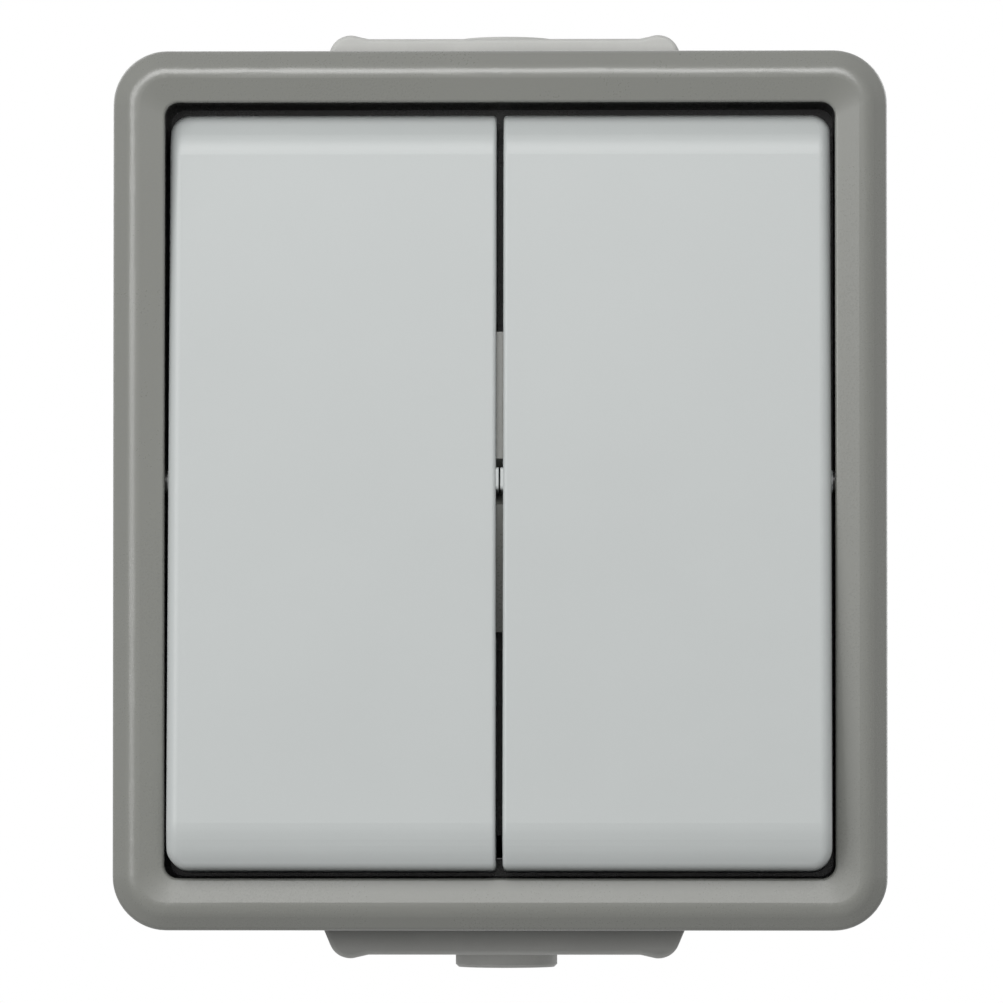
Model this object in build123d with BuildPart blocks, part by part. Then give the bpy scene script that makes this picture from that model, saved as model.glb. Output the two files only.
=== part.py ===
"""Surface-mounted splash-proof double two-way rocker switch, in millimetres.

The wall is the plane y = 0 and the front looks along -Y, with +X to the right and +Z up.
Depths are given from the wall, so a depth d lies at y = -d. The rockers stand as they
do with their top ends pressed in.
"""

import os
from math import cos, radians, sin

from build123d import *

# Front outline and depth
front_width = 66.0
front_height = 75.0
front_corner = 4.6
cover_front = 46.15
cover_back = 25.9
shoulder_width = 1.7
shoulder_depth = 1.35
shoulder_round = 0.8
crest_round = 1.6
band_fall = 0.5
pry_notch_width = 6.0
pry_notch_height = 1.2
pry_notch_offset = 22.0

# Opening of the cover and the well behind it
opening_width = 57.1
opening_height = 66.1
opening_corner = 1.2
opening_edge_round = 0.25
well_wall = 1.5
well_floor = 36.0
well_floor_thickness = 1.5
well_wall_back = 31.5
band_thickness = 2.8
cover_wall = 1.6
window_width = 20.0
window_height = 27.0
window_corner = 1.5
drain_width = 8.0
drain_height = 2.0

# Rear box
box_width = 64.4
box_height = 73.4
box_corner = 3.8
box_shelf = 25.4
box_rim = 30.0
rim_width = 62.4
rim_height = 71.4
rim_corner = 2.8
box_inner_width = 58.4
box_inner_height = 67.4
box_inner_corner = 1.6
box_back = 2.2
box_edge_round = 0.8
box_wall_reach = 5.0
box_wall_start = 32.7
wall_screw_spacing = 53.0
wall_screw_radius = 2.3
wall_boss_radius = 5.2
wall_boss_height = 0.8
pillar_radius = 3.2
pillar_top = 16.0
pillar_hole_radius = 1.25
pillar_hole_depth = 9.0
latch_width = 8.0
latch_spacing = 40.0
latch_depth = 28.0
latch_reach = 0.5
latch_half_depth = 0.8
latch_clearance = 0.2

# Cable entries, one at the top and one at the bottom
entry_slot_half = 12.6
entry_slot_start = 5.0
entry_slot_corner = 2.0
entry_gap = 0.1
entry_collar_half = 16.3
entry_ear_outer = 14.75
entry_ear_inner = 13.3
entry_ear_foot = 11.9
entry_ear_round = 1.9
entry_collar_bend = 0.8
entry_collar_round = 0.4
entry_collar_back = 3.0
entry_collar_front = 24.8
entry_collar_low = 36.8
entry_collar_mid = 40.15
entry_collar_ear = 40.47
entry_flange_half = 14.0
entry_flange_back = 4.0
entry_flange_inner = 32.0
entry_flange_outer = 33.6
nipple_depth = 14.0
nipple_radius = 4.5
nipple_top_end = 40.85
nipple_bottom_end = 41.5
nipple_sink = 0.5
nipple_bore = 3.8
nipple_membrane = 0.7
nipple_chamfer = 0.25
nipple_lip = 3.4
nipple_dish = 3.0
groove_inner = 5.8
groove_outer = 6.5
groove_depth = 0.4
entry_lip_low = 33.75
entry_lip_high = 35.65
entry_lip_front = 29.95

# Hinge of the rockers
rocker_tilt = 5.0
hinge_depth = 43.5
hinge_height = 0.7
hinge_pin_radius = 1.0
hinge_hole_radius = 1.06
hinge_hole_length = 1.2

# Bearing bridge between the rockers
bridge_half_height = 12.8
bridge_half_width = 1.2
bridge_rib_half_width = 0.45
bridge_crest = 45.75
bridge_shoulder = 44.55
bridge_notch_half = 2.25
bridge_notch_throat = 0.95

# Rockers
rocker_inner = 0.3
rocker_outer = 28.2
rocker_up = 31.4
rocker_down = 33.1
rocker_face = 3.3
rocker_plate = 1.8
rocker_skirt = -4.0
rocker_wall = 1.4
rocker_top_bevel = 2.7
rocker_top_drop = 1.15
rocker_bottom_bevel = 3.0
rocker_bottom_drop = 0.6
rocker_end_bevel = 1.2
rocker_end_drop = 1.5
rocker_end_round = 4.0
rocker_crease_round = 4.5
rocker_corner = 1.7
rocker_inner_corner = 0.5
rocker_inner_round = 0.35
rocker_side_round = 1.0
rocker_lip = 0.8
rocker_rebate = 0.75
rocker_skirt_setback = 1.5
rocker_recess_half = 13.4
pusher_offset = 8.5
pusher_thickness = 1.6
pusher_width = 10.0
pusher_tip = 31.2
lug_half_height = 0.95
lug_inner = 0.08
lug_top = 3.05
lug_round = 0.35
hinge_pin_end = 29.5
pusher_round = 0.6
pusher_root = 0.4
stiffener_thickness = 1.0
stiffener_back = -2.0
stiffener_offset = 7.0

# Switch insert
gang_offset = 14.1
insert_width = 50.0
insert_height = 42.0
insert_corner = 2.0
insert_back = 4.0
insert_front = 24.0
insert_floor = 8.0
chamber_inner = 3.0
chamber_outer = 23.4
chamber_half_height = 15.0
terminal_slot_width = 8.2
terminal_slot_overlap = 2.0
ear_places = ((-20.0, 25.4), (20.0, -24.0))
ear_lift = 0.05
ear_radius = 3.6
ear_hole_radius = 1.6
cheek_thickness = 2.0
cheek_inner = 5.4
cheek_half_height = 4.0
cheek_passage_half = 1.8
cheek_passage_top = 9.3
insert_cover_thickness = 2.5
toggle_window_half_width = 5.3
toggle_window_half_height = 8.0
driver_hole_radius = 2.5

# Toggles, plungers and springs
toggle_wing_width = 16.0
toggle_wing_height = 23.0
toggle_wing_low = 5.0
toggle_wing_top = 7.0
toggle_wing_corner = 2.0
toggle_wing_round = 0.5
toggle_neck_width = 9.0
toggle_neck_height = 10.0
toggle_neck_low = -2.0
toggle_pin_radius = 1.5
toggle_pin_half = 7.2
toggle_bearing_radius = 1.56
toggle_stem_radius = 3.1
toggle_stem_low = -6.3
plunger_radius = 1.8
plunger_bore = 1.86
plunger_bore_top = 3.8
plunger_top = -3.2
plunger_tip = -8.0
plunger_tip_round = 1.5
spring_radius = 1.3
spring_wire = 0.22
spring_turns = 6

# Contact blades and terminals
blade_tilt = 5.5
blade_rise = 10.0
blade_half_length = 9.8
blade_width = 5.0
blade_thickness = 0.6
blade_pivot = 15.25
blade_contact_offset = 8.2
contact_radius = 1.5
blade_contact_thickness = 0.6
fixed_contact_face = 15.1
fixed_contact_radius = 1.6
fixed_contact_thickness = 0.8
strip_thickness = 1.0
strip_half_width = 2.5
terminal_floor_gap = 0.05
traveller_leg = 12.2
traveller_pad_inner = 6.2
common_strip_inner = 3.2
common_strip_outer = 6.4
common_strip_half_height = 1.5
common_flange_inner = 4.4
common_flange_outer = 10.6
common_flange_top = -13.0
common_screw_x = 7.9
traveller_screw_x = 19.2
traveller_flange_inner = 15.6
traveller_flange_outer = 22.8
traveller_flange_bend = -13.9
upper_flange_half = 3.5
upper_screw_z = 18.4
lower_screw_z = -17.0
lower_flange_end = -19.8
upper_flange_end = 21.2
knife_half_width = 0.6
knife_gap = 0.05
screw_shank_radius = 1.7
screw_hole_radius = 1.75
screw_head_radius = 2.9
screw_head_height = 2.4
screw_head_seat = 12.4
screw_tip = 5.6
screw_slot_width = 0.8
screw_slot_depth = 1.1
long_screw_shank = 1.2
long_screw_tip = 8.0
long_screw_head = 2.7
long_screw_head_height = 1.8
terminal_relief_radius = 2.2

# Seal
gasket_outer_width = 61.0
gasket_outer_height = 70.0
gasket_inner_width = 58.0
gasket_inner_height = 67.0
gasket_corner = 2.0
gasket_gap = 0.05

# Half-thickness of the slice in which edges of one level are looked for
fit_gap = 0.02

# Places of the screws, the terminal slots and the cheeks of both gangs
terminal_screw_places = (
    (-gang_offset, upper_screw_z),
    (gang_offset, upper_screw_z),
    (-traveller_screw_x, lower_screw_z),
    (-common_screw_x, lower_screw_z),
    (common_screw_x, lower_screw_z),
    (traveller_screw_x, lower_screw_z),
)
upper_slot_z = hinge_height + insert_height / 2
lower_slot_z = hinge_height - insert_height / 2
terminal_slot_places = (
    (-gang_offset, upper_slot_z),
    (gang_offset, upper_slot_z),
    (-traveller_screw_x, lower_slot_z),
    (-common_screw_x, lower_slot_z),
    (common_screw_x, lower_slot_z),
    (traveller_screw_x, lower_slot_z),
)
cheek_offset = cheek_inner + cheek_thickness / 2
cheek_places = (
    -gang_offset - cheek_offset,
    -gang_offset + cheek_offset,
    gang_offset - cheek_offset,
    gang_offset + cheek_offset,
)

# Planes: every depth plane faces the front and keeps X to the right and Z up
wall = Plane.XZ
side_view = Plane.YZ

tilt_sine = sin(radians(rocker_tilt))
tilt_cosine = cos(radians(rocker_tilt))
tilted_normal = Vector(0, -tilt_cosine, tilt_sine)
tilted_length = Vector(0, tilt_sine, tilt_cosine)

blade_sine = sin(radians(blade_tilt))
blade_cosine = cos(radians(blade_tilt))
blade_length_direction = Vector(0, -blade_sine, blade_cosine)


def tilted_face(x, depth, height):
    """Plane through a pivot that looks out of a rocker or toggle with its top pressed in."""
    return Plane(origin=(x, -depth, height), x_dir=(1, 0, 0), z_dir=tilted_normal)


def tilted_side(x, depth, height):
    """Plane across the same pivot, with its first axis along the rocker's length."""
    return Plane(origin=(x, -depth, height), x_dir=tilted_length, z_dir=(1, 0, 0))


def save(piece, name):
    """Label one piece and write it as its own file."""
    piece.label = name
    export_step(piece, f"parts/{name}.step")


# Cover frame: the front band, the well of the rockers and the bearing bridge
def build_cover_frame():
    with BuildPart() as cover_frame:
        with BuildSketch(wall.offset(cover_back)):
            RectangleRounded(front_width, front_height, front_corner)
        extrude(amount=cover_front - shoulder_depth - cover_back)

        # Shoulder that slopes up to the crest, and the inner band that falls to the opening
        with BuildSketch(wall.offset(cover_front - shoulder_depth)):
            RectangleRounded(front_width, front_height, front_corner)
        with BuildSketch(wall.offset(cover_front)):
            RectangleRounded(
                front_width - 2 * shoulder_width,
                front_height - 2 * shoulder_width,
                front_corner - shoulder_width,
            )
        loft(ruled=True)
        with BuildSketch(wall.offset(cover_front)):
            RectangleRounded(
                front_width - 2 * shoulder_width,
                front_height - 2 * shoulder_width,
                front_corner - shoulder_width,
            )
        with BuildSketch(wall.offset(cover_front - band_fall)):
            RectangleRounded(opening_width, opening_height, opening_corner)
        loft(ruled=True, mode=Mode.SUBTRACT)
        crest_edges = cover_frame.edges().filter_by_position(
            Axis.Y, -cover_front - fit_gap, -cover_front + fit_gap
        )
        fillet(crest_edges, crest_round)
        shoulder_edges = cover_frame.edges().filter_by_position(
            Axis.Y,
            shoulder_depth - cover_front - fit_gap,
            shoulder_depth - cover_front + fit_gap,
        )
        fillet(shoulder_edges, shoulder_round)

        # Well for the rockers
        with BuildSketch(wall.offset(cover_front)):
            RectangleRounded(opening_width, opening_height, opening_corner)
        extrude(amount=well_floor - cover_front, mode=Mode.SUBTRACT)
        opening_edges = cover_frame.edges().filter_by_position(
            Axis.Y,
            band_fall - cover_front - fit_gap,
            band_fall - cover_front + fit_gap,
        )
        fillet(opening_edges, opening_edge_round)

        # Hollow behind the band, which leaves the skirt and the wall of the well
        with BuildSketch(wall.offset(cover_back)):
            RectangleRounded(
                front_width - 2 * cover_wall,
                front_height - 2 * cover_wall,
                front_corner - cover_wall,
            )
            RectangleRounded(
                opening_width + 2 * well_wall,
                opening_height + 2 * well_wall,
                opening_corner + well_wall,
                mode=Mode.SUBTRACT,
            )
        extrude(amount=cover_front - band_thickness - cover_back, mode=Mode.SUBTRACT)
        with BuildSketch(wall.offset(cover_back)):
            RectangleRounded(
                opening_width + 2 * well_wall,
                opening_height + 2 * well_wall,
                opening_corner + well_wall,
            )
        extrude(amount=well_wall_back - cover_back, mode=Mode.SUBTRACT)
        with BuildSketch(wall.offset(well_wall_back)):
            RectangleRounded(opening_width, opening_height, opening_corner)
        extrude(
            amount=well_floor - well_floor_thickness - well_wall_back,
            mode=Mode.SUBTRACT,
        )

        # Windows for the toggles and the drain at the bottom of the well
        with BuildSketch(wall.offset(well_floor)):
            with Locations((-gang_offset, hinge_height), (gang_offset, hinge_height)):
                RectangleRounded(window_width, window_height, window_corner)
            with Locations((0, (drain_height - opening_height) / 2 + well_wall)):
                SlotOverall(drain_width, drain_height)
        extrude(amount=-well_floor_thickness, mode=Mode.SUBTRACT)

        # Bearing bridge: a broad foot and a thin crested rib, with the notch of the pins
        with BuildSketch(wall.offset(well_floor)):
            with Locations((0, hinge_height)):
                Rectangle(2 * bridge_half_width, 2 * bridge_half_height)
        extrude(amount=hinge_depth - well_floor)
        with BuildSketch(side_view):
            with BuildLine():
                Polyline(
                    (-well_floor, hinge_height - bridge_half_height),
                    (-bridge_shoulder, hinge_height - bridge_half_height),
                    (-bridge_crest, hinge_height),
                    (-bridge_shoulder, hinge_height + bridge_half_height),
                    (-well_floor, hinge_height + bridge_half_height),
                    close=True,
                )
            make_face()
        extrude(amount=bridge_rib_half_width, both=True)
        with BuildSketch(side_view):
            with BuildLine():
                Polyline(
                    (-hinge_depth, hinge_height - bridge_notch_throat),
                    (-hinge_depth, hinge_height + bridge_notch_throat),
                    (-cover_front, hinge_height + bridge_notch_half),
                    (-cover_front, hinge_height - bridge_notch_half),
                    close=True,
                )
            make_face()
            with Locations((-hinge_depth, hinge_height)):
                Circle(hinge_hole_radius)
        extrude(amount=2 * bridge_half_width, both=True, mode=Mode.SUBTRACT)

        # Bearing holes for the outer pins
        for side in (-1, 1):
            with BuildSketch(side_view.offset(side * opening_width / 2)):
                with Locations((-hinge_depth, hinge_height)):
                    Circle(hinge_hole_radius)
            extrude(amount=side * hinge_hole_length, mode=Mode.SUBTRACT)

        # Latches inside the long sides of the skirt
        skirt_inner = front_width / 2 - cover_wall
        for side in (-1, 1):
            for height in (-latch_spacing / 2, latch_spacing / 2):
                with BuildSketch(Plane.XY.offset(height)):
                    with BuildLine():
                        Polyline(
                            (side * skirt_inner, -latch_depth + latch_half_depth),
                            (side * (skirt_inner - latch_reach), -latch_depth),
                            (side * skirt_inner, -latch_depth - latch_half_depth),
                            (
                                side * (skirt_inner + latch_reach),
                                -latch_depth,
                            ),
                            close=True,
                        )
                    make_face()
                extrude(amount=latch_width / 2, both=True)

        # Notches in the rear edge at the bottom, where a screwdriver lifts the cover off
        with BuildSketch(Plane.XY.offset(-front_height / 2)):
            with Locations((-pry_notch_offset, -cover_back), (pry_notch_offset, -cover_back)):
                Rectangle(pry_notch_width, 2 * pry_notch_height)
        extrude(amount=cover_wall, mode=Mode.SUBTRACT)
    return cover_frame.part


# Rear box with the wall fixing, the pillars and a slot for each cable entry
def build_base_box():
    with BuildPart() as base_box:
        with BuildSketch(wall):
            RectangleRounded(box_width, box_height, box_corner)
        extrude(amount=box_shelf)
        fillet(base_box.faces().sort_by(Axis.Y)[-1].edges(), box_edge_round)
        with BuildSketch(wall.offset(box_shelf)):
            RectangleRounded(rim_width, rim_height, rim_corner)
        extrude(amount=box_rim - box_shelf)
        with BuildSketch(wall.offset(box_back)):
            RectangleRounded(box_inner_width, box_inner_height, box_inner_corner)
        extrude(amount=box_rim - box_back, mode=Mode.SUBTRACT)

        # Bosses round the two wall screws
        with BuildSketch(wall.offset(box_back)):
            with GridLocations(0, wall_screw_spacing, 1, 2):
                Circle(wall_boss_radius)
        extrude(amount=wall_boss_height)
        with BuildSketch(wall):
            with GridLocations(0, wall_screw_spacing, 1, 2):
                Circle(wall_screw_radius)
        extrude(amount=box_back + wall_boss_height, mode=Mode.SUBTRACT)

        # Pillars that carry the switch insert
        with BuildSketch(wall.offset(box_back)):
            with Locations(*ear_places):
                Circle(pillar_radius)
        extrude(amount=pillar_top - box_back)
        with BuildSketch(wall.offset(pillar_top)):
            with Locations(*ear_places):
                Circle(pillar_hole_radius)
        extrude(amount=-pillar_hole_depth, mode=Mode.SUBTRACT)

        # Slots that are open to the front for the cable entries
        slot_middle = (entry_slot_start + box_rim) / 2
        for side in (-1, 1):
            with BuildSketch(Plane.XY.offset(side * box_wall_start)):
                with Locations((0, -slot_middle - entry_slot_corner)):
                    RectangleRounded(
                        2 * entry_slot_half,
                        box_rim - entry_slot_start + 2 * entry_slot_corner,
                        entry_slot_corner,
                    )
            extrude(amount=side * box_wall_reach, mode=Mode.SUBTRACT)

        # Pockets for the latches of the cover
        for side in (-1, 1):
            for height in (-latch_spacing / 2, latch_spacing / 2):
                with BuildSketch(side_view.offset(side * rim_width / 2)):
                    with Locations((-latch_depth, height)):
                        Rectangle(
                            2 * latch_half_depth + 2 * latch_clearance,
                            latch_width + 2 * latch_clearance,
                        )
                extrude(amount=-side * latch_reach, mode=Mode.SUBTRACT)
    return base_box.part


# Sealing ring between the rim of the box and the cover
def build_rim_gasket():
    with BuildPart() as rim_gasket:
        with BuildSketch(wall.offset(box_rim + gasket_gap)):
            RectangleRounded(gasket_outer_width, gasket_outer_height, gasket_corner)
            RectangleRounded(
                gasket_inner_width, gasket_inner_height, gasket_corner, mode=Mode.SUBTRACT
            )
        extrude(amount=well_wall_back - box_rim - 2 * gasket_gap)
    return rim_gasket.part


# Cable entry: an outer collar with raised ears and a round nipple, a web in the slot of
# the box and a flange inside it
def build_cable_entry(up, nipple_end):
    nipple_floor = nipple_end - nipple_sink
    with BuildPart() as cable_entry:
        with BuildSketch(wall.offset(entry_collar_back)) as collar:
            with BuildLine():
                Polyline(
                    (-entry_collar_half, up * entry_collar_low),
                    (-entry_ear_outer, up * entry_collar_ear),
                    (-entry_ear_inner, up * entry_collar_ear),
                    (-entry_ear_foot, up * entry_collar_mid),
                    (entry_ear_foot, up * entry_collar_mid),
                    (entry_ear_inner, up * entry_collar_ear),
                    (entry_ear_outer, up * entry_collar_ear),
                    (entry_collar_half, up * entry_collar_low),
                    close=True,
                )
            make_face()
            ears = collar.vertices().filter_by(
                lambda corner: abs(abs(corner.X) - entry_ear_outer) < fit_gap
            )
            fillet(ears, entry_ear_round)
            bends = collar.vertices().filter_by(
                lambda corner: abs(corner.X) < entry_ear_inner + fit_gap
            )
            fillet(bends, entry_collar_bend)
        extrude(amount=entry_collar_front - entry_collar_back)
        end_faces = cable_entry.faces().filter_by(Axis.Y)
        rims = end_faces.edges().filter_by(
            lambda edge: abs(edge.center().Z) > entry_collar_low + fit_gap
        )
        fillet(rims, entry_collar_round)

        # Web that fills the slot of the box, with the lip that carries the seal
        with BuildSketch(Plane.XY.offset(up * entry_flange_outer)):
            with Locations((0, -(entry_slot_start + entry_collar_front + entry_gap) / 2)):
                RectangleRounded(
                    2 * (entry_slot_half - entry_gap),
                    entry_collar_front - entry_slot_start - entry_gap,
                    entry_slot_corner - entry_gap,
                )
        extrude(amount=up * (entry_collar_low - entry_flange_outer))
        with BuildSketch(wall.offset(entry_collar_front - entry_slot_corner)):
            with Locations((0, up * (entry_lip_low + entry_lip_high) / 2)):
                Rectangle(2 * (entry_slot_half - entry_gap), entry_lip_high - entry_lip_low)
        extrude(amount=entry_lip_front - entry_collar_front + entry_slot_corner)

        # Flange inside the box
        with BuildSketch(wall.offset(entry_flange_back)):
            with Locations((0, up * (entry_flange_inner + entry_flange_outer) / 2)):
                Rectangle(2 * entry_flange_half, entry_flange_outer - entry_flange_inner)
        extrude(amount=entry_collar_front - entry_flange_back)

        # Round nipple with a dished membrane, its bore and the groove round it
        with BuildSketch(wall.offset(nipple_depth)):
            with BuildLine():
                Polyline(
                    (0, up * (entry_collar_mid - nipple_membrane)),
                    (nipple_radius, up * (entry_collar_mid - nipple_membrane)),
                    (nipple_radius, up * (nipple_end - nipple_chamfer)),
                    (nipple_radius - nipple_chamfer, up * nipple_end),
                    (nipple_lip, up * nipple_end),
                    (nipple_dish, up * nipple_floor),
                    (0, up * nipple_floor),
                    close=True,
                )
            make_face()
        revolve(axis=Axis((0, -nipple_depth, 0), (0, 0, 1)))
        with BuildSketch(Plane.XY.offset(up * entry_flange_inner)):
            with Locations((0, -nipple_depth)):
                Circle(nipple_bore)
        extrude(
            amount=up * (nipple_floor - nipple_membrane - entry_flange_inner),
            mode=Mode.SUBTRACT,
        )
        with BuildSketch(Plane.XY.offset(up * entry_collar_mid)):
            with Locations((0, -nipple_depth)):
                Circle(groove_outer)
                Circle(groove_inner, mode=Mode.SUBTRACT)
        extrude(amount=-up * groove_depth, mode=Mode.SUBTRACT)
    return cable_entry.part


# Rocker: a bevelled, rounded cap with its skirts, hinge pins, pushers and ribs
def build_rocker(side):
    pivot = Vector(0, -hinge_depth, hinge_height)
    cap_face = tilted_face(0, hinge_depth, hinge_height)
    start = min(side * rocker_inner, side * rocker_outer)
    underside = rocker_face - rocker_plate
    with BuildPart() as rocker:
        with BuildSketch(tilted_side(start, hinge_depth, hinge_height)) as profile:
            with BuildLine():
                Polyline(
                    (-rocker_down, rocker_skirt),
                    (-rocker_down, rocker_face - rocker_end_drop),
                    (-rocker_down + rocker_end_bevel, rocker_face - rocker_bottom_drop),
                    (-rocker_down + rocker_bottom_bevel, rocker_face),
                    (rocker_up - rocker_top_bevel, rocker_face),
                    (rocker_up, rocker_face - rocker_top_drop),
                    (rocker_up, rocker_skirt),
                    close=True,
                )
            make_face()
            fillet(profile.vertices().group_by(Axis.Y)[-1], rocker_crease_round)
            bend_height = rocker_face - rocker_bottom_drop
            end_bend = profile.vertices().filter_by(
                lambda corner: abs(corner.Y - bend_height) < fit_gap
            )
            fillet(end_bend, rocker_end_round)
        extrude(amount=rocker_outer - rocker_inner)

        # Outer corners in plan, then the rounding along the ends and the outer side
        upright = rocker.edges().filter_by(Axis(pivot, tilted_normal))
        outer_corners = upright.sort_by(Axis((0, 0, 0), (side, 0, 0)))[-2:]
        fillet(outer_corners, rocker_corner)
        walls = rocker.faces().filter_by(
            lambda face: abs(face.normal_at().dot(tilted_normal)) < fit_gap
        )
        rim = walls.edges().filter_by(
            lambda edge: (edge.center() - pivot).dot(tilted_normal) > underside
        )
        outer_rim = rim.filter_by(
            lambda edge: side * edge.center().X > rocker_inner + rocker_inner_corner
        )
        fillet(outer_rim, rocker_side_round)
        inner_side = rocker.faces().sort_by(Axis((0, 0, 0), (side, 0, 0)))[0]
        inner_rim = inner_side.edges().filter_by(
            lambda edge: (edge.center() - pivot).dot(tilted_normal) > 0
        )
        fillet(inner_rim, rocker_inner_round)

        # Hollow behind the cap, wider beyond the ends of the bearing bridge
        hollow_inner = rocker_skirt_setback + rocker_wall
        hollow_outer = rocker_outer - rocker_wall
        hollow_low = -rocker_down + rocker_wall
        hollow_high = rocker_up - rocker_wall
        recess_end = rocker_recess_half + rocker_wall
        with BuildSketch(cap_face.offset(rocker_skirt)):
            with Locations(
                (side * (hollow_inner + hollow_outer) / 2, (hollow_low + hollow_high) / 2)
            ):
                Rectangle(hollow_outer - hollow_inner, hollow_high - hollow_low)
            with Locations((side * hollow_inner, (hollow_high + recess_end) / 2)):
                Rectangle(2 * (hollow_inner - rocker_inner - rocker_wall), hollow_high - recess_end)
            with Locations((side * hollow_inner, (hollow_low - recess_end) / 2)):
                Rectangle(2 * (hollow_inner - rocker_inner - rocker_wall), -hollow_low - recess_end)
        extrude(amount=underside - rocker_skirt, mode=Mode.SUBTRACT)

        # Recess that clears the bridge, and the shallow rebate under the lip of the cap
        with BuildSketch(cap_face.offset(rocker_skirt)):
            with Locations((side * rocker_skirt_setback / 2, 0)):
                Rectangle(rocker_skirt_setback, 2 * rocker_recess_half)
        extrude(amount=underside - rocker_skirt, mode=Mode.SUBTRACT)
        with BuildSketch(cap_face.offset(underside)):
            with Locations((side * rocker_rebate / 2, 0)):
                Rectangle(rocker_rebate, 2 * rocker_recess_half)
        extrude(amount=rocker_plate - rocker_lip, mode=Mode.SUBTRACT)

        # Lug and inner pin in the notch of the bridge, and the outer pin
        lug_start = min(side * lug_inner, side * (rocker_rebate + rocker_inner))
        with BuildSketch(tilted_side(lug_start, hinge_depth, hinge_height)) as lug:
            with Locations((0, lug_top / 2)):
                Rectangle(2 * lug_half_height, lug_top)
            fillet(lug.vertices().group_by(Axis.Y)[-1], lug_round)
        extrude(amount=rocker_rebate + rocker_inner - lug_inner)
        pin_start = min(side * lug_inner, side * hollow_inner)
        with BuildSketch(tilted_side(pin_start, hinge_depth, hinge_height)):
            Circle(hinge_pin_radius)
        extrude(amount=hollow_inner - lug_inner)
        pin_start = min(side * hollow_outer, side * hinge_pin_end)
        with BuildSketch(tilted_side(pin_start, hinge_depth, hinge_height)):
            Circle(hinge_pin_radius)
        extrude(amount=hinge_pin_end - hollow_outer)

        # Stiffening ribs along the cap and the two pushers behind it
        with BuildSketch(cap_face.offset(stiffener_back)):
            for offset in (-stiffener_offset, stiffener_offset):
                with Locations((side * gang_offset + offset, (hollow_low + hollow_high) / 2)):
                    Rectangle(stiffener_thickness, hollow_high - hollow_low + rocker_wall)
        extrude(amount=underside - stiffener_back + stiffener_thickness / 2)
        pusher_start = side * gang_offset - pusher_width / 2
        with BuildSketch(tilted_side(pusher_start, hinge_depth, hinge_height)) as pusher:
            tip = pusher_tip - hinge_depth
            for offset in (-pusher_offset, pusher_offset):
                with Locations((offset, (tip + underside + pusher_root) / 2)):
                    Rectangle(pusher_thickness, underside + pusher_root - tip)
            fillet(pusher.vertices().group_by(Axis.Y)[0], pusher_round)
        extrude(amount=pusher_width)
    return rocker.part


# Toggle: wings above the insert, a neck with its trunnions and the tube of the plunger
def build_toggle(side):
    centre = side * gang_offset
    face = tilted_face(centre, insert_front, hinge_height)
    with BuildPart() as toggle:
        with BuildSketch(face.offset(toggle_wing_low)):
            RectangleRounded(toggle_wing_width, toggle_wing_height, toggle_wing_corner)
        extrude(amount=toggle_wing_top - toggle_wing_low)
        wing_top = toggle.faces().sort_by(Axis((0, 0, 0), tilted_normal))[-1]
        fillet(wing_top.edges(), toggle_wing_round)
        with BuildSketch(face.offset(toggle_neck_low)):
            Rectangle(toggle_neck_width, toggle_neck_height)
        extrude(amount=toggle_wing_low - toggle_neck_low)
        with BuildSketch(tilted_side(centre, insert_front, hinge_height)):
            Circle(toggle_pin_radius)
        extrude(amount=toggle_pin_half, both=True)
        with BuildSketch(face.offset(toggle_stem_low)):
            Circle(toggle_stem_radius)
        extrude(amount=toggle_neck_low - toggle_stem_low)
        with BuildSketch(face.offset(toggle_stem_low)):
            Circle(plunger_bore)
        extrude(amount=plunger_bore_top - toggle_stem_low, mode=Mode.SUBTRACT)
    return toggle.part


# Plunger with its rounded tip
def build_plunger(side):
    face = tilted_face(side * gang_offset, insert_front, hinge_height)
    with BuildPart() as plunger:
        with BuildSketch(face.offset(plunger_tip)):
            Circle(plunger_radius)
        extrude(amount=plunger_top - plunger_tip)
        tip = plunger.faces().sort_by(Axis((0, 0, 0), tilted_normal))[0]
        fillet(tip.edges(), plunger_tip_round)
    return plunger.part


# Coil spring between the plunger and the end of its bore
def build_spring(side):
    face = tilted_face(side * gang_offset, insert_front, hinge_height)
    low = plunger_top + 2 * spring_wire
    height = plunger_bore_top - 2 * spring_wire - low
    with BuildPart() as spring:
        with BuildLine():
            coil = Helix(
                pitch=height / spring_turns,
                height=height,
                radius=spring_radius,
                center=face.offset(low).origin,
                direction=tilted_normal,
            )
        with BuildSketch(Plane(origin=coil @ 0, z_dir=coil % 0)):
            Circle(spring_wire)
        sweep(path=coil, is_frenet=True)
    return spring.part


# Contact blade: a strip bent in a shallow V, with a contact under each end
def build_contact_blade(side):
    centre = side * gang_offset
    blade_side = Plane(
        origin=(centre, -blade_pivot, hinge_height),
        x_dir=blade_length_direction,
        z_dir=(1, 0, 0),
    )
    rise_sine = sin(radians(blade_rise))
    rise_cosine = cos(radians(blade_rise))
    rise = rise_sine / rise_cosine
    blade_normal = blade_side.y_dir
    with BuildPart() as contact_blade:
        with BuildSketch(blade_side):
            with BuildLine():
                end_rise = blade_half_length * rise
                skin = blade_thickness / rise_cosine
                Polyline(
                    (0, 0),
                    (blade_half_length, end_rise),
                    (blade_half_length, end_rise + skin),
                    (0, skin),
                    (-blade_half_length, end_rise + skin),
                    (-blade_half_length, end_rise),
                    close=True,
                )
            make_face()
        extrude(amount=blade_width / 2, both=True)
        for end in (-1, 1):
            under = blade_side.from_local_coords(
                (end * blade_contact_offset, blade_contact_offset * rise, 0)
            )
            down = blade_length_direction * (end * rise_sine) - blade_normal * rise_cosine
            with BuildSketch(Plane(origin=under, x_dir=(1, 0, 0), z_dir=down)):
                Circle(contact_radius)
            extrude(amount=blade_contact_thickness)
    return contact_blade.part


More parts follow.
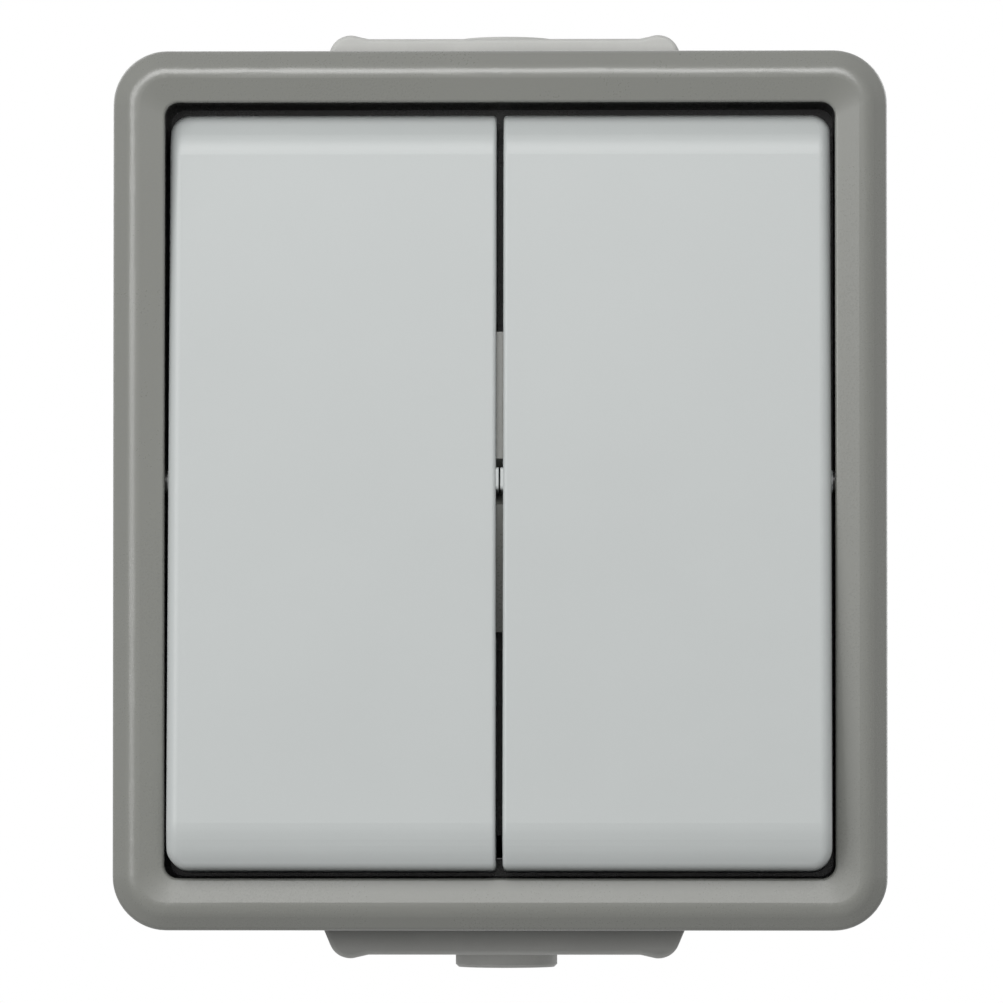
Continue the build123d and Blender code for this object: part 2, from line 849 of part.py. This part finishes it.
# Traveller terminal: a cranked strip with a fixed contact, a leg and a screwed flange
def build_traveller(side, up):
    centre = side * gang_offset
    pad_top = fixed_contact_face - fixed_contact_thickness
    floor = insert_floor + terminal_floor_gap
    leg = hinge_height + up * traveller_leg
    if up > 0:
        flange_end = upper_flange_end
        flange_centre = centre
        flange_width = 2 * upper_flange_half
        screw = (centre, upper_screw_z)
    else:
        flange_end = lower_flange_end
        flange_centre = side * (traveller_flange_inner + traveller_flange_outer) / 2
        flange_width = traveller_flange_outer - traveller_flange_inner
        screw = (side * traveller_screw_x, lower_screw_z)
    bend = leg + up * 2 * strip_thickness
    with BuildPart() as traveller:
        with BuildSketch(side_view.offset(centre)):
            with BuildLine():
                Polyline(
                    (-pad_top, hinge_height + up * traveller_pad_inner),
                    (-pad_top, leg + up * strip_thickness),
                    (-floor - strip_thickness, leg + up * strip_thickness),
                    (-floor - strip_thickness, bend),
                    (-floor, bend),
                    (-floor, leg),
                    (-pad_top + strip_thickness, leg),
                    (-pad_top + strip_thickness, hinge_height + up * traveller_pad_inner),
                    close=True,
                )
            make_face()
        extrude(amount=strip_half_width, both=True)
        with BuildSketch(wall.offset(floor)):
            with Locations((flange_centre, (leg + flange_end) / 2)):
                Rectangle(flange_width, abs(flange_end - leg))
            with Locations(((centre + flange_centre) / 2, (leg + bend) / 2)):
                Rectangle(abs(flange_centre - centre) + flange_width / 2, abs(bend - leg))
            with Locations(screw):
                Circle(screw_hole_radius, mode=Mode.SUBTRACT)
        extrude(amount=strip_thickness)
        with BuildSketch(wall.offset(pad_top)):
            with Locations((centre, hinge_height + up * blade_contact_offset)):
                Circle(fixed_contact_radius)
        extrude(amount=fixed_contact_thickness)
    return traveller.part


# Common terminal: the knife edge that carries the blade, and the strip to its screw
def build_common(side):
    centre = side * gang_offset
    floor = insert_floor + terminal_floor_gap
    with BuildPart() as common:
        with BuildSketch(wall.offset(floor)):
            strip_outer = gang_offset + strip_half_width
            with Locations((side * (common_strip_inner + strip_outer) / 2, hinge_height)):
                Rectangle(strip_outer - common_strip_inner, 2 * common_strip_half_height)
            strip_high = hinge_height + common_strip_half_height
            with Locations(
                (
                    side * (common_strip_inner + common_strip_outer) / 2,
                    (strip_high + traveller_flange_bend) / 2,
                )
            ):
                Rectangle(common_strip_outer - common_strip_inner, strip_high - traveller_flange_bend)
            with Locations(
                (
                    side * (common_flange_inner + common_flange_outer) / 2,
                    (common_flange_top + lower_flange_end) / 2,
                )
            ):
                Rectangle(common_flange_outer - common_flange_inner, common_flange_top - lower_flange_end)
            with Locations((side * common_screw_x, lower_screw_z)):
                Circle(screw_hole_radius, mode=Mode.SUBTRACT)
        extrude(amount=strip_thickness)
        with BuildSketch(side_view.offset(centre)):
            with BuildLine():
                edge = blade_pivot - knife_gap
                Polyline(
                    (-floor, hinge_height - knife_half_width),
                    (-edge + knife_half_width, hinge_height - knife_half_width),
                    (-edge, hinge_height),
                    (-edge + knife_half_width, hinge_height + knife_half_width),
                    (-floor, hinge_height + knife_half_width),
                    close=True,
                )
            make_face()
        extrude(amount=strip_half_width, both=True)
    return common.part


# Switch insert: the moulded housing of both gangs
def build_switch_insert():
    chamber_middle = (chamber_inner + chamber_outer) / 2
    slot_reach = insert_height / 2 - chamber_half_height + terminal_slot_overlap
    with BuildPart() as switch_insert:
        with BuildSketch(wall.offset(insert_back)):
            with Locations((0, hinge_height)):
                RectangleRounded(insert_width, insert_height, insert_corner)
        extrude(amount=insert_front - insert_back)
        with BuildSketch(wall.offset(pillar_top + ear_lift)):
            for x, z in ear_places:
                with Locations((x, z)):
                    Circle(ear_radius)
                with Locations((x, z - (ear_radius if z > 0 else -ear_radius))):
                    Rectangle(2 * ear_radius, 2 * ear_radius)
        extrude(amount=insert_front - pillar_top - ear_lift)
        with BuildSketch(wall.offset(insert_front)):
            with Locations(
                (-chamber_middle, hinge_height),
                (chamber_middle, hinge_height),
            ):
                Rectangle(chamber_outer - chamber_inner, 2 * chamber_half_height)
            with Locations(*terminal_slot_places):
                Rectangle(terminal_slot_width, 2 * slot_reach)
        extrude(amount=insert_floor - insert_front, mode=Mode.SUBTRACT)

        # Cheeks with the half-round bearings of the toggles, and a passage for the strip
        with BuildSketch(wall.offset(insert_floor)):
            for x in cheek_places:
                with Locations((x, hinge_height)):
                    Rectangle(cheek_thickness, 2 * cheek_half_height)
        extrude(amount=insert_front - insert_floor)
        for side in (-1, 1):
            with BuildSketch(side_view.offset(side * gang_offset)):
                with Locations((-insert_front, hinge_height)):
                    Circle(toggle_bearing_radius)
            extrude(amount=cheek_inner + cheek_thickness, both=True, mode=Mode.SUBTRACT)
        with BuildSketch(wall.offset(insert_floor)):
            for x in cheek_places:
                with Locations((x, hinge_height)):
                    Rectangle(2 * cheek_thickness, 2 * cheek_passage_half)
        extrude(amount=cheek_passage_top - insert_floor, mode=Mode.SUBTRACT)

        # Clearance under the terminal screws, and the holes of the long screws
        with BuildSketch(wall.offset(insert_floor)):
            with Locations(*terminal_screw_places):
                Circle(terminal_relief_radius)
        extrude(amount=screw_tip - insert_floor - ear_lift, mode=Mode.SUBTRACT)
        with BuildSketch(wall.offset(insert_front)):
            with Locations(*ear_places):
                Circle(ear_hole_radius)
        extrude(amount=pillar_top - insert_front, mode=Mode.SUBTRACT)
    return switch_insert.part


# Cover of the switch insert
def build_insert_cover():
    with BuildPart() as insert_cover:
        with BuildSketch(wall.offset(insert_front)):
            with Locations((0, hinge_height)):
                RectangleRounded(insert_width, insert_height, insert_corner)
            for x, z in ear_places:
                with Locations((x, z)):
                    Circle(ear_radius)
                with Locations((x, z - (ear_radius if z > 0 else -ear_radius))):
                    Rectangle(2 * ear_radius, 2 * ear_radius)
            with Locations((-gang_offset, hinge_height), (gang_offset, hinge_height)):
                Rectangle(
                    2 * toggle_window_half_width,
                    2 * toggle_window_half_height,
                    mode=Mode.SUBTRACT,
                )
            with Locations(*terminal_screw_places):
                Circle(driver_hole_radius, mode=Mode.SUBTRACT)
            with Locations(*ear_places):
                Circle(ear_hole_radius, mode=Mode.SUBTRACT)
        extrude(amount=insert_cover_thickness)
        for side in (-1, 1):
            with BuildSketch(side_view.offset(side * gang_offset)):
                with Locations((-insert_front, hinge_height)):
                    Circle(toggle_bearing_radius)
            extrude(amount=cheek_inner + cheek_thickness, both=True, mode=Mode.SUBTRACT)
    return insert_cover.part


# Slotted screws, as one group of separate solids for each size
def build_screws(places, tip, seat, shank, head, head_height):
    with BuildPart() as screws:
        with BuildSketch(wall.offset(tip)):
            with Locations(*places):
                Circle(shank)
        extrude(amount=seat - tip)
        with BuildSketch(wall.offset(seat)):
            with Locations(*places):
                Circle(head)
        extrude(amount=head_height)
        with BuildSketch(wall.offset(seat + head_height)):
            with Locations(*places):
                Rectangle(2 * head, screw_slot_width)
        extrude(amount=-screw_slot_depth, mode=Mode.SUBTRACT)
    return screws.part


os.makedirs("parts", exist_ok=True)

save(build_cover_frame(), "cover_frame")
save(build_base_box(), "base_box")
save(build_rim_gasket(), "rim_gasket")
save(build_cable_entry(1, nipple_top_end), "cable_entry_top")
save(build_cable_entry(-1, nipple_bottom_end), "cable_entry_bottom")
save(build_switch_insert(), "switch_insert")
save(build_insert_cover(), "insert_cover")
save(
    build_screws(
        terminal_screw_places,
        screw_tip,
        screw_head_seat,
        screw_shank_radius,
        screw_head_radius,
        screw_head_height,
    ),
    "terminal_screws",
)
save(
    build_screws(
        ear_places,
        long_screw_tip,
        insert_front + insert_cover_thickness,
        long_screw_shank,
        long_screw_head,
        long_screw_head_height,
    ),
    "insert_screws",
)
for side, gang in ((-1, "left"), (1, "right")):
    save(build_rocker(side), f"rocker_{gang}")
    save(build_toggle(side), f"toggle_{gang}")
    save(build_plunger(side), f"plunger_{gang}")
    save(build_spring(side), f"plunger_spring_{gang}")
    save(build_contact_blade(side), f"contact_blade_{gang}")
    save(build_traveller(side, 1), f"upper_traveller_{gang}")
    save(build_traveller(side, -1), f"lower_traveller_{gang}")
    save(build_common(side), f"common_terminal_{gang}")
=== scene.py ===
"""Looks of the surface-mounted double two-way rocker switch: materials, light and camera."""

from math import cos, pi, radians, sin

import bpy
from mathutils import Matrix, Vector


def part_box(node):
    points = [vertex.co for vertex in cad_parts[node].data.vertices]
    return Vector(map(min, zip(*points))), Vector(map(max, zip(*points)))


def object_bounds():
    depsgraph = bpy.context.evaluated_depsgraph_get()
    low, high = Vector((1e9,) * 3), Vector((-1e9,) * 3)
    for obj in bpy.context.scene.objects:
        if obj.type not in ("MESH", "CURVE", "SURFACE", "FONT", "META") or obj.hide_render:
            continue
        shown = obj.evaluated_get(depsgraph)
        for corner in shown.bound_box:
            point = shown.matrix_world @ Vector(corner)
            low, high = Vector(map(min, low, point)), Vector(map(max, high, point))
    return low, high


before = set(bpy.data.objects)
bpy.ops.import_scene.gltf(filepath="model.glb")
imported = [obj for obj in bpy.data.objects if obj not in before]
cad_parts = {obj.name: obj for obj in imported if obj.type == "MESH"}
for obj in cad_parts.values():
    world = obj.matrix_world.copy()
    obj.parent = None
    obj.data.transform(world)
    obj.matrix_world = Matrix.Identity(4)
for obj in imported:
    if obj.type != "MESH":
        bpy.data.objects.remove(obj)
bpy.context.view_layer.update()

# Lengths are written in millimetres and angles in degrees
MM = 0.001

# The photograph's frame and the camera that matches it
picture_size = 1003
pixels_per_mm = 11.72
outline_behind_front = 2.5
camera_distance = 700.0
camera_azimuth = 1.1
camera_elevation = -1.45
aim_right = 0.12
aim_below = 0.95
sensor_width = 36.0
nearest_seen = 10.0
farthest_seen = 20000.0

# Floor and ambient light
floor_drop = 200.0
floor_size = 7400.0
floor_grey = 0.55
floor_whitening = 0.55
ambient_strength = 0.22

# Lamps: name, azimuth, elevation, distance, width, height and radiance
soft_boxes = (
    ("top_box", -4.0, 30.0, 620.0, 420.0, 250.0, 6.1),
    ("left_box", -36.0, 12.0, 1200.0, 540.0, 560.0, 4.5),
    ("right_rear_box", 138.0, 12.0, 1200.0, 900.0, 900.0, 1.5),
    ("left_rear_box", -142.0, 25.0, 1200.0, 900.0, 900.0, 1.2),
)

# Base colours
rocker_grey = (0.515, 0.54, 0.535)
# Painted shade for the rockers' outer hinge pins, which stand in the shaded side gaps
pin_painted_shade = (0.03, 0.03, 0.028)
cover_grey = (0.205, 0.208, 0.19)
# Painted shade in the well around the rockers
well_painted_shade = (0.02, 0.02, 0.019)
box_grey = (0.215, 0.217, 0.203)
entry_grey = (0.545, 0.547, 0.528)
insert_white = (0.7, 0.7, 0.665)
toggle_grey = (0.56, 0.56, 0.54)
plunger_red = (0.56, 0.07, 0.045)
seal_black = (0.022, 0.022, 0.022)
screw_zinc = (0.62, 0.63, 0.645)
long_screw_zinc = (0.6, 0.61, 0.625)
spring_steel = (0.55, 0.56, 0.575)
contact_copper = (0.77, 0.43, 0.28)
terminal_brass = (0.72, 0.53, 0.25)
white = (1.0, 1.0, 1.0, 1.0)

# Specular levels of hard plastic, of the shinier front frame and of elastomer
plastic_shine = 0.5
cover_shine = 0.75
elastomer_shine = 0.4

# Outer hinge pins of the rockers begin at this distance from the middle; from there on the rocker
# caps get painted shade, so the pins look dark in the side gaps
pin_start = 28.35

# Painted shade on the cable entries next to the cover is darkest up to the first height and ends
# at the second one
shade_start = 38.2
shade_end = 39.6

# The well behind the front lip of the cover gets painted shade, nearly black, except for its
# bearing bridge
well_width = 57.6
well_height = 66.6
well_front = 44.9
bridge_width = 3.0
bridge_height = 27.2

# Threads of the two kinds of screw: one pitch, and how far from the wall each thread ends
thread_pitch = 0.7
terminal_thread_end = 12.4
long_thread_end = 26.5

# Cells of the hairlines in the caps and of the drawing lines in metal, across and along
hairline_cell = (10 / 9, 40.0)
drawing_cell = (2 / 15, 1.5)

# Noise lies around this value
middle = 0.5

# Sockets of the Mix node that carry colours
mix_factor, mix_first, mix_second, mix_result = 0, 6, 7, 2

cover_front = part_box("cover_frame")[0].y
outline_y = cover_front + outline_behind_front * MM


class Shade:
    """The node tree of one material or world."""

    def __init__(self, owner):
        owner.use_nodes = True
        self.owner = owner
        self.tree = owner.node_tree
        self.tree.nodes.clear()

    def add(self, kind, settings=None, values=None):
        """Add a node, set its settings first and then the values or links of its sockets."""
        node = self.tree.nodes.new(kind)
        for name, setting in (settings or {}).items():
            if name == "stops":
                self.set_stops(node.color_ramp, setting)
            else:
                setattr(node, name, setting)
        for name, value in (values or {}).items():
            self.plug(value, node.inputs[name])
        return node

    def set_stops(self, ramp, stops):
        """Give a ramp its two stops, each a place and a grey."""
        for element, (place, grey) in zip(ramp.elements, stops):
            element.position = place
            element.color = (grey, grey, grey, 1.0)

    def plug(self, value, socket):
        """Link a signal to a socket, or set the socket's own value."""
        if isinstance(value, Signal):
            self.tree.links.new(value.socket, socket)
        else:
            socket.default_value = value

    def out(self, node, name=0):
        return Signal(self, node.outputs[name])


class Signal:
    """One output socket, on which Python's operators add Math nodes."""

    def __init__(self, shade, socket):
        self.shade = shade
        self.socket = socket

    def math(self, operation, first, second):
        settings = {"operation": operation}
        return self.shade.out(self.shade.add("ShaderNodeMath", settings, {0: first, 1: second}))

    def __add__(self, other):
        return self.math("ADD", self, other)

    def __radd__(self, other):
        return self.math("ADD", other, self)

    def __sub__(self, other):
        return self.math("SUBTRACT", self, other)

    def __rsub__(self, other):
        return self.math("SUBTRACT", other, self)

    def __mul__(self, other):
        return self.math("MULTIPLY", self, other)

    def __rmul__(self, other):
        return self.math("MULTIPLY", other, self)

    def __truediv__(self, other):
        return self.math("DIVIDE", self, other)

    def __rtruediv__(self, other):
        return self.math("DIVIDE", other, self)

    def __gt__(self, other):
        return self.math("GREATER_THAN", self, other)

    def __lt__(self, other):
        return self.math("LESS_THAN", self, other)

    def __abs__(self):
        return self.math("ABSOLUTE", self, 0.0)

    def zigzag(self, height):
        """Up to a height and down again, over and over."""
        return self.math("PINGPONG", self, height)

    def swing(self, amount):
        """How far noise is from its middle value, multiplied by an amount."""
        return (self - middle) * amount

    def clamped(self):
        return self.shade.out(self.shade.add("ShaderNodeClamp", None, {"Value": self}))

    def rise(self, start, end):
        """0 up to start, 1 from end on, and even in between."""
        settings = {"stops": ((start, 0.0), (end, 1.0))}
        return self.shade.out(self.shade.add("ShaderNodeValToRGB", settings, {"Fac": self}))


def object_place(shade):
    """Object coordinates, in metres from the middle of the wall face."""
    return shade.out(shade.add("ShaderNodeTexCoord"), "Object")


def along(shade, place, axis):
    """How far a place lies along the X, Y or Z axis."""
    return shade.out(shade.add("ShaderNodeSeparateXYZ", None, {"Vector": place}), axis)


def mottle(shade, place, cell, detail, roughness):
    """Soft noise around the middle value, with cells of a size in millimetres."""
    values = {"Vector": place, "Scale": 1 / (cell * MM), "Detail": detail, "Roughness": roughness}
    return shade.out(shade.add("ShaderNodeTexNoise", None, values), "Fac")


def streaks(shade, place, cell, detail, roughness):
    """Noise drawn out upwards, with cells of one size across and another along."""
    across, upwards = (1 / (size * MM) for size in cell)
    values = {"Vector": place, "Scale": (across, across, upwards)}
    drawn_place = shade.out(shade.add("ShaderNodeMapping", None, values))
    return mottle(shade, drawn_place, 1 / MM, detail, roughness)


def specks(shade, place, cell, size):
    """Sparse round dots, 1 inside a dot and 0 outside."""
    values = {"Vector": place, "Scale": 1 / (cell * MM)}
    dots = shade.out(shade.add("ShaderNodeTexVoronoi", None, values), "Distance")
    return dots < size


def tinted(shade, factor, first, second):
    """Colour between two tones, each of them fixed or a signal."""
    tones = [(*tone, 1.0) if isinstance(tone, tuple) else tone for tone in (first, second)]
    values = {mix_factor: factor, mix_first: tones[0], mix_second: tones[1]}
    return shade.out(shade.add("ShaderNodeMix", {"data_type": "RGBA"}, values), mix_result)


def toned(colour, change):
    """The same colour, lighter or darker by a share."""
    return tuple(min(1.0, max(0.0, channel * (1 + change))) for channel in colour)


def relief(shade, *layers):
    """Normal from several layers of height, each with its depth in millimetres."""
    normal = None
    for height, depth in layers:
        values = {"Height": height, "Distance": depth * MM, "Strength": 1.0}
        if normal is not None:
            values["Normal"] = normal
        normal = shade.out(shade.add("ShaderNodeBump", None, values))
    return normal


def surface(shade, colour, roughness, normal, fixed):
    """Principled surface; fixed holds the numbers that are the same all over it."""
    values = {"Base Color": colour, "Roughness": roughness, "Normal": normal, **fixed}
    principled = shade.add("ShaderNodeBsdfPrincipled", None, values)
    shade.add("ShaderNodeOutputMaterial", None, {"Surface": shade.out(principled)})
    return shade.owner


def polished_plastic(name, colour, roughness):
    """Polished moulded cap: clouded tone, faint moulding waves, hairlines, pigment specks and
    painted shade on the outer hinge pins.
    """
    change, cloud_tone, grain_tone, pigment_tone = 0.025, 1.1, 0.5, 0.35
    cloud_gloss, grain_gloss, hairline_gloss = 0.06, 0.05, 0.015
    wave_depth, grain_depth, hairline_depth = 0.012, 0.0016, -0.0003
    shade = Shade(bpy.data.materials.new(name))
    place = object_place(shade)
    cloud = mottle(shade, place, cell=16.0, detail=3.0, roughness=0.55)
    wave = mottle(shade, place, cell=6.0, detail=1.0, roughness=0.4)
    grain = mottle(shade, place, cell=0.16, detail=2.0, roughness=0.5)
    hair = streaks(shade, place, hairline_cell, detail=2.0, roughness=0.7)
    hairline = hair.rise(start=0.66, end=0.72)
    pigment = specks(shade, place, cell=1.9, size=0.035)
    tone = middle + cloud.swing(cloud_tone) + grain.swing(grain_tone) - pigment * pigment_tone
    unshaded = tinted(shade, tone.clamped(), toned(colour, -change), toned(colour, change))
    # Painted shade: the outer hinge pins are darkened as if shadowed in the side gaps
    pin_shade_mask = abs(along(shade, place, "X")) > pin_start * MM
    base = tinted(shade, pin_shade_mask, unshaded, pin_painted_shade)
    gloss = roughness + cloud.swing(cloud_gloss) + grain.swing(grain_gloss)
    gloss = gloss + hairline * hairline_gloss
    normal = relief(shade, (wave, wave_depth), (grain, grain_depth), (hairline, hairline_depth))
    return surface(shade, base, gloss, normal, {"Specular IOR Level": plastic_shine})


def well_shade_mask(shade, place):
    """1 on the walls and the floor of the well in which the rockers stand, where painted shade
    goes.
    """
    across, depth, up = (along(shade, place, axis) for axis in "XYZ")
    within = (abs(across) < well_width / 2 * MM) * (abs(up) < well_height / 2 * MM)
    bridge = (abs(across) < bridge_width / 2 * MM) * (abs(up) < bridge_height / 2 * MM)
    return (within - bridge) * (depth > -well_front * MM)


def grained_plastic(
    name,
    colour,
    roughness,
    grain_cell,
    grain_depth,
    change=0.03,
    wave_depth=0.014,
    shine=plastic_shine,
    shade_well=False,
):
    """Spark-grained moulded plastic: fine pits, clouded tone, a faint moulding wave and, when
    asked, painted shade in the well.
    """
    cloud_tone, pits_tone, pigment_tone = 0.9, 0.45, 0.4
    cloud_gloss, pits_gloss = 0.08, -0.06
    shade = Shade(bpy.data.materials.new(name))
    place = object_place(shade)
    cloud = mottle(shade, place, cell=14.0, detail=3.0, roughness=0.55)
    wave = mottle(shade, place, cell=7.0, detail=1.0, roughness=0.4)
    grain = mottle(shade, place, cell=grain_cell, detail=3.0, roughness=0.6)
    pits = grain.rise(start=0.3, end=0.62)
    pigment = specks(shade, place, cell=1.4, size=0.05)
    tone = middle + cloud.swing(cloud_tone) + pits.swing(pits_tone) + pigment * pigment_tone
    base = tinted(shade, tone.clamped(), toned(colour, -change), toned(colour, change))
    # Painted shade: the well behind the cover's front lip is darkened nearly to black
    if shade_well:
        base = tinted(shade, well_shade_mask(shade, place), base, well_painted_shade)
    gloss = roughness + cloud.swing(cloud_gloss) + pits.swing(pits_gloss)
    normal = relief(shade, (wave, wave_depth), (pits, grain_depth))
    return surface(shade, base, gloss, normal, {"Specular IOR Level": shine})


def elastomer(name, colour, roughness, shade_near_cover=False):
    """Soft elastomer: powdery, with a fine pebble, rubbed spots and, when asked, painted shade
    next to the cover.
    """
    darkest, lightest, shade_change = -0.05, 0.06, -0.4
    mean_tone, pebble_tone, bloom_tone = 0.45, 0.6, 0.35
    pebble_gloss, bloom_gloss = 0.1, 0.05
    cloud_depth, pebble_depth, shade_wander = 0.02, 0.009, 0.4
    shade = Shade(bpy.data.materials.new(name))
    place = object_place(shade)
    cloud = mottle(shade, place, cell=5.0, detail=4.0, roughness=0.6)
    pebble = mottle(shade, place, cell=0.22, detail=2.0, roughness=0.55)
    bloom = cloud.rise(start=0.42, end=0.75)
    tone = mean_tone + pebble.swing(pebble_tone) + bloom * bloom_tone
    base = tinted(shade, tone.clamped(), toned(colour, darkest), toned(colour, lightest))
    # Painted shade: darker next to the cover, as if shadowed by its edge, with a wandering border
    if shade_near_cover:
        height = abs(along(shade, place, "Z")) + cloud.swing(shade_wander * MM)
        unshaded = ((height - shade_start * MM) / ((shade_end - shade_start) * MM)).clamped()
        base = tinted(shade, unshaded, toned(colour, shade_change), base)
    gloss = roughness + pebble.swing(pebble_gloss) - bloom * bloom_gloss
    normal = relief(shade, (cloud, cloud_depth), (pebble, pebble_depth))
    return surface(shade, base, gloss, normal, {"Specular IOR Level": elastomer_shine})


def plated_metal(name, colour, roughness, thread_end=None):
    """Plated or bare metal: drawing lines, clouded plating and, on screws, a thread."""
    darkest, lightest = -0.16, 0.08
    mean_tone, cloud_tone, drawn_tone, tarnish_tone = 0.6, 0.7, 0.6, 0.25
    drawn_gloss, tarnish_gloss = 0.16, 0.14
    cloud_depth, drawn_depth, thread_depth, half_turn = 0.004, 0.0025, 0.22, 0.5
    shade = Shade(bpy.data.materials.new(name))
    place = object_place(shade)
    cloud = mottle(shade, place, cell=1.6, detail=4.0, roughness=0.6)
    drawn = streaks(shade, place, drawing_cell, detail=2.0, roughness=0.6)
    tarnish = cloud.rise(start=0.52, end=0.8)
    tone = mean_tone + cloud.swing(cloud_tone) + drawn.swing(drawn_tone) - tarnish * tarnish_tone
    base = tinted(shade, tone.clamped(), toned(colour, darkest), toned(colour, lightest))
    gloss = roughness + drawn.swing(drawn_gloss) + tarnish * tarnish_gloss
    layers = [(cloud, cloud_depth), (drawn, drawn_depth)]
    if thread_end:
        depth = along(shade, place, "Y")
        groove = (depth / (thread_pitch * MM)).zigzag(half_turn)
        layers.append((groove * (depth > -thread_end * MM), thread_depth))
    return surface(shade, base, gloss, relief(shade, *layers), {"Metallic": 1.0})


def dress(material, *names):
    """Put a material in every slot of the CAD nodes."""
    for name in names:
        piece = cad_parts[name]
        if not piece.material_slots:
            piece.data.materials.append(material)
        for slot in piece.material_slots:
            slot.material = material


def both(name):
    """The left and the right node of one kind."""
    return (f"{name}_left", f"{name}_right")


def dress_outside():
    """Finishes of the pieces that show from outside."""
    dress(polished_plastic("rocker_cap_grey", rocker_grey, roughness=0.38), *both("rocker"))
    cover = grained_plastic(
        "cover_frame_grey",
        cover_grey,
        roughness=0.3,
        grain_cell=0.2,
        grain_depth=0.0014,
        wave_depth=0.0015,
        shine=cover_shine,
        shade_well=True,
    )
    dress(cover, "cover_frame")
    base_box = grained_plastic(
        "base_box_grey", box_grey, roughness=0.46, grain_cell=0.3, grain_depth=0.014
    )
    dress(base_box, "base_box")
    cable_entry = elastomer("cable_entry_grey", entry_grey, roughness=0.58, shade_near_cover=True)
    dress(cable_entry, "cable_entry_top", "cable_entry_bottom")
    dress(elastomer("rim_seal_black", seal_black, roughness=0.72), "rim_gasket")


def dress_inside():
    """Finishes of the switch insert and its mechanism, inside the box."""
    insert = grained_plastic(
        "insert_off_white",
        insert_white,
        roughness=0.45,
        grain_cell=0.25,
        grain_depth=0.008,
        change=0.02,
    )
    dress(insert, "switch_insert", "insert_cover")
    toggle = grained_plastic(
        "toggle_pale_grey", toggle_grey, roughness=0.4, grain_cell=0.2, grain_depth=0.006
    )
    dress(toggle, *both("toggle"))
    plunger = grained_plastic(
        "plunger_red", plunger_red, roughness=0.38, grain_cell=0.15, grain_depth=0.004
    )
    dress(plunger, *both("plunger"))
    dress(plated_metal("screw_zinc", screw_zinc, 0.3, terminal_thread_end), "terminal_screws")
    dress(plated_metal("long_screw_zinc", long_screw_zinc, 0.32, long_thread_end), "insert_screws")
    dress(plated_metal("spring_steel", spring_steel, roughness=0.24), *both("plunger_spring"))
    dress(plated_metal("contact_copper", contact_copper, roughness=0.26), *both("contact_blade"))
    dress(
        plated_metal("terminal_brass", terminal_brass, roughness=0.28),
        *both("upper_traveller"),
        *both("lower_traveller"),
        *both("common_terminal"),
    )


def seen_directly(shade):
    """1 for rays from the camera and for those that gloss and glass send on."""
    path = shade.add("ShaderNodeLightPath")
    kinds = ("Is Camera Ray", "Is Glossy Ray", "Is Transmission Ray")
    camera, gloss, glass = (shade.out(path, kind) for kind in kinds)
    return (camera + gloss + glass).clamped()


def mixed(shade, factor, first, second):
    """Node whose surface or background lies between those of two others."""
    values = {0: factor, 1: shade.out(first), 2: shade.out(second)}
    return shade.add("ShaderNodeMixShader", None, values)


def floor_pale():
    """Matt grey that is whitened where it is seen, and clear from underneath."""
    shade = Shade(bpy.data.materials.new("floor_pale"))
    grey = (floor_grey, floor_grey, floor_grey, 1.0)
    matt = shade.add("ShaderNodeBsdfDiffuse", None, {"Color": grey})
    glow = shade.add("ShaderNodeEmission", None, {"Strength": 1.0})
    pale = mixed(shade, seen_directly(shade) * floor_whitening, matt, glow)
    clear = shade.add("ShaderNodeBsdfTransparent")
    underneath = shade.out(shade.add("ShaderNodeNewGeometry"), "Backfacing")
    seen = mixed(shade, underneath, pale, clear)
    shade.add("ShaderNodeOutputMaterial", None, {"Surface": shade.out(seen)})
    return shade.owner


def lay_floor():
    """Plain floor well below the switch, which is fixed to a wall."""
    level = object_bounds()[0][2] - floor_drop * MM
    bpy.ops.object.select_all(action="DESELECT")
    bpy.ops.mesh.primitive_plane_add(size=floor_size * MM, location=(0, 0, level))
    floor = bpy.context.object
    floor.name = "pale_floor"
    bpy.ops.object.transform_apply(location=True, rotation=True, scale=True)
    floor.data.materials.append(floor_pale())


def light_world():
    """Even soft light all round; the camera, gloss and glass see plain white."""
    world = bpy.data.worlds.new("studio")
    bpy.context.scene.world = world
    shade = Shade(world)
    soft = shade.add("ShaderNodeBackground", None, {"Color": white, "Strength": ambient_strength})
    plain = shade.add("ShaderNodeBackground", None, {"Color": white, "Strength": 1.0})
    seen = mixed(shade, seen_directly(shade), soft, plain)
    shade.add("ShaderNodeOutputWorld", None, {"Surface": shade.out(seen)})


def direction(azimuth, elevation):
    """From the switch towards a place to the right by azimuth and up by elevation."""
    turn = radians(azimuth)
    rise = radians(elevation)
    return Vector((sin(turn) * cos(rise), -cos(turn) * cos(rise), sin(rise)))


def put_in_scene(holder, out):
    """Put a lamp or a camera in the scene, turned to look back from where it stands."""
    bpy.context.scene.collection.objects.link(holder)
    holder.rotation_mode = "QUATERNION"
    holder.rotation_quaternion = (-out).to_track_quat("-Z", "Y")


def hang_soft_box(name, azimuth, elevation, distance, width, height, radiance):
    """Rectangular lamp that looks at the middle of the front."""
    lamp = bpy.data.lights.new(name, "AREA")
    lamp.shape = "RECTANGLE"
    lamp.size = width * MM
    lamp.size_y = height * MM
    lamp.energy = radiance * pi * width * height * MM * MM
    holder = bpy.data.objects.new(name, lamp)
    out = direction(azimuth, elevation)
    holder.location = Vector((0, cover_front, 0)) + out * distance * MM
    put_in_scene(holder, out)


def set_camera():
    """Camera in front of the switch, a little to its right and a little below."""
    lens = bpy.data.cameras.new("picture_camera")
    lens.sensor_width = sensor_width
    lens.lens = pixels_per_mm * camera_distance / picture_size * sensor_width
    lens.clip_start = nearest_seen * MM
    lens.clip_end = farthest_seen * MM
    camera = bpy.data.objects.new("picture_camera", lens)
    back = direction(camera_azimuth, camera_elevation)
    aim = Vector((aim_right * MM, outline_y, -aim_below * MM))
    camera.location = aim + back * camera_distance * MM
    put_in_scene(camera, back)
    bpy.context.scene.camera = camera


dress_outside()
dress_inside()
lay_floor()
light_world()
for soft_box in soft_boxes:
    hang_soft_box(*soft_box)
set_camera()
bpy.context.scene.view_settings.view_transform = "Standard"
